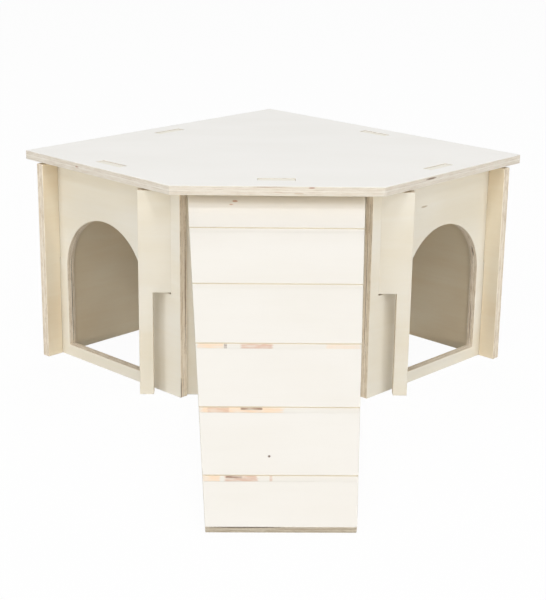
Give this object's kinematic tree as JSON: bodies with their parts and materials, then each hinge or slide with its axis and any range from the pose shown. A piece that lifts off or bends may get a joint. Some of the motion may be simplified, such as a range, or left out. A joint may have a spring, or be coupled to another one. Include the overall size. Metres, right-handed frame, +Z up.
{
  "type": "hamster house",
  "caption": "Wooden hamster house of plug-together plywood boards: slotted walls with arched side doorways, a flat roof held by tabs, and a grooved front ramp that tapers to its foot.",
  "frame": {"origin": "middle of the bounding box in plan, on the floor that the walls and the ramp's foot stand on", "axes": "+Z up; -Y the front, where the ramp comes down; +Y the back corner; X across the house, which looks the same on both sides of X = 0"},
  "size_m": [0.297, 0.4014, 0.1268],
  "materials": {
    "roof_plywood": "bare sanded plywood, pale face veneer, matt",
    "wall_plywood": "bare sanded plywood, matt, cut edges showing the plies",
    "ramp_plywood": "bare sanded plywood, pale face veneer with grooves milled across, matt"
  },
  "bodies": {
    "walls": {"back_left_panel": "wall_plywood", "back_right_panel": "wall_plywood", "left_door_panel": "wall_plywood", "right_door_panel": "wall_plywood", "front_panel": "wall_plywood"},
    "roof": {"roof_board": "roof_plywood"},
    "ramp": {"ramp_board": "ramp_plywood"}
  },
  "joints": [
    {"name": "roof_lift", "type": "slide", "parent": "walls", "child": "roof", "axis": [0, 0, 1], "range_m": [0, 0.06]},
    {"name": "ramp_tilt", "type": "hinge", "parent": "walls", "child": "ramp", "pos_m": [0, -0.02259, 0.1152], "axis": [-1, 0, 0], "range_deg": [0, 33]}
  ]
}
